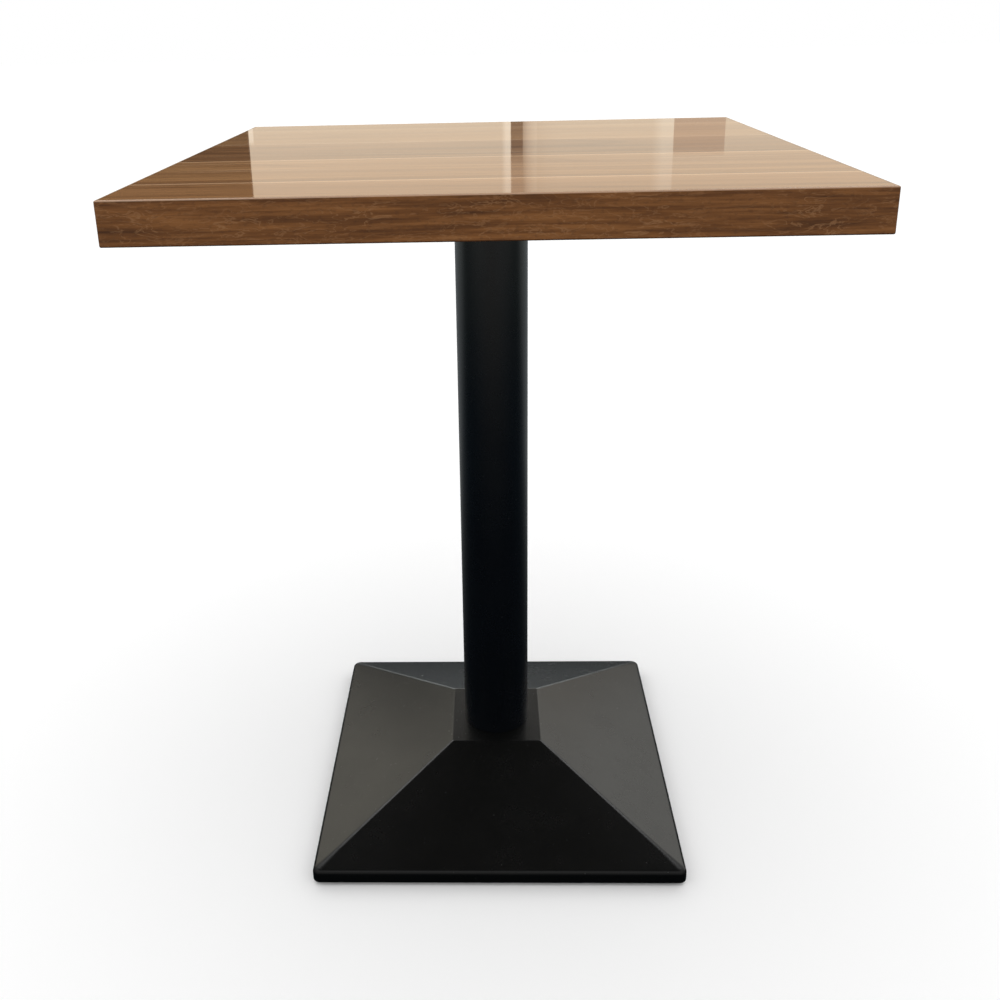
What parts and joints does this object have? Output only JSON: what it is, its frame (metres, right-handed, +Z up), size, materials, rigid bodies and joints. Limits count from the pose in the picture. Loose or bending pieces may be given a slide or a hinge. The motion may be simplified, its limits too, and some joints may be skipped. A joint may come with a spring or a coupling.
{
  "type": "bistro table",
  "caption": "Square bistro table: a thick walnut-look top on a round black steel column and a low cast-iron pyramid base, levelled by screw-in glides.",
  "frame": {"origin": "on the floor under the column's axis, in the plane of the four glide pads' undersides at rest", "axes": "+Z up along the column; -Y towards the front of the table, along the planks' width; +X to the right, along the planks' length"},
  "size_m": [0.6, 0.6, 0.75],
  "materials": {
    "walnut_laminate": "satin melamine laminate printed as walnut planks",
    "edge_band": "satin walnut-grain edge band",
    "particle_board": "raw particle board",
    "backing_laminate": "matt dark backing laminate",
    "black_iron": "satin black powder coat",
    "black_steel": "satin black powder coat",
    "zinc_steel": "bright zinc plate",
    "black_nylon": "moulded nylon"
  },
  "bodies": {
    "table": {"top_laminate": "walnut_laminate", "edge_band_front": "edge_band", "edge_band_back": "edge_band", "edge_band_left": "edge_band", "edge_band_right": "edge_band", "upper_board": "particle_board", "lower_board": "particle_board", "under_laminate": "backing_laminate", "top_spider": "black_iron", "base_casting": "black_iron", "column_tube": "black_steel", "spider_screws": "zinc_steel", "tie_rod": "zinc_steel", "rod_top_washer": "zinc_steel", "rod_top_spring_washer": "zinc_steel", "rod_top_nut": "zinc_steel", "rod_bottom_washer": "zinc_steel", "rod_bottom_spring_washer": "zinc_steel", "rod_bottom_nut": "zinc_steel"},
    "pad_front_left": {"glide_pad_front_left": "black_nylon"},
    "stud_front_left": {"glide_stud_front_left": "zinc_steel"},
    "pad_front_right": {"glide_pad_front_right": "black_nylon"},
    "stud_front_right": {"glide_stud_front_right": "zinc_steel"},
    "pad_back_left": {"glide_pad_back_left": "black_nylon"},
    "stud_back_left": {"glide_stud_back_left": "zinc_steel"},
    "pad_back_right": {"glide_pad_back_right": "black_nylon"},
    "stud_back_right": {"glide_stud_back_right": "zinc_steel"}
  },
  "joints": [
    {"name": "glide_travel_front_left", "type": "slide", "parent": "table", "child": "pad_front_left", "axis": [0, 0, -1], "range_m": [-0.002, 0.008]},
    {"name": "stud_turn_front_left", "type": "hinge", "parent": "pad_front_left", "child": "stud_front_left", "pos_m": [-0.155, -0.155, 0.0088], "axis": [0, 0, -1], "range_deg": [-580, 2310]},
    {"name": "glide_travel_front_right", "type": "slide", "parent": "table", "child": "pad_front_right", "axis": [0, 0, -1], "range_m": [-0.002, 0.008]},
    {"name": "stud_turn_front_right", "type": "hinge", "parent": "pad_front_right", "child": "stud_front_right", "pos_m": [0.155, -0.155, 0.0088], "axis": [0, 0, -1], "range_deg": [-580, 2310]},
    {"name": "glide_travel_back_left", "type": "slide", "parent": "table", "child": "pad_back_left", "axis": [0, 0, -1], "range_m": [-0.002, 0.008]},
    {"name": "stud_turn_back_left", "type": "hinge", "parent": "pad_back_left", "child": "stud_back_left", "pos_m": [-0.155, 0.155, 0.0088], "axis": [0, 0, -1], "range_deg": [-580, 2310]},
    {"name": "glide_travel_back_right", "type": "slide", "parent": "table", "child": "pad_back_right", "axis": [0, 0, -1], "range_m": [-0.002, 0.008]},
    {"name": "stud_turn_back_right", "type": "hinge", "parent": "pad_back_right", "child": "stud_back_right", "pos_m": [0.155, 0.155, 0.0088], "axis": [0, 0, -1], "range_deg": [-580, 2310]}
  ],
  "couplings": [
    {"joint": "stud_turn_front_left", "follows": "glide_travel_front_left", "rad_per_m": 5026.5},
    {"joint": "stud_turn_front_right", "follows": "glide_travel_front_right", "rad_per_m": 5026.5},
    {"joint": "stud_turn_back_left", "follows": "glide_travel_back_left", "rad_per_m": 5026.5},
    {"joint": "stud_turn_back_right", "follows": "glide_travel_back_right", "rad_per_m": 5026.5}
  ]
}
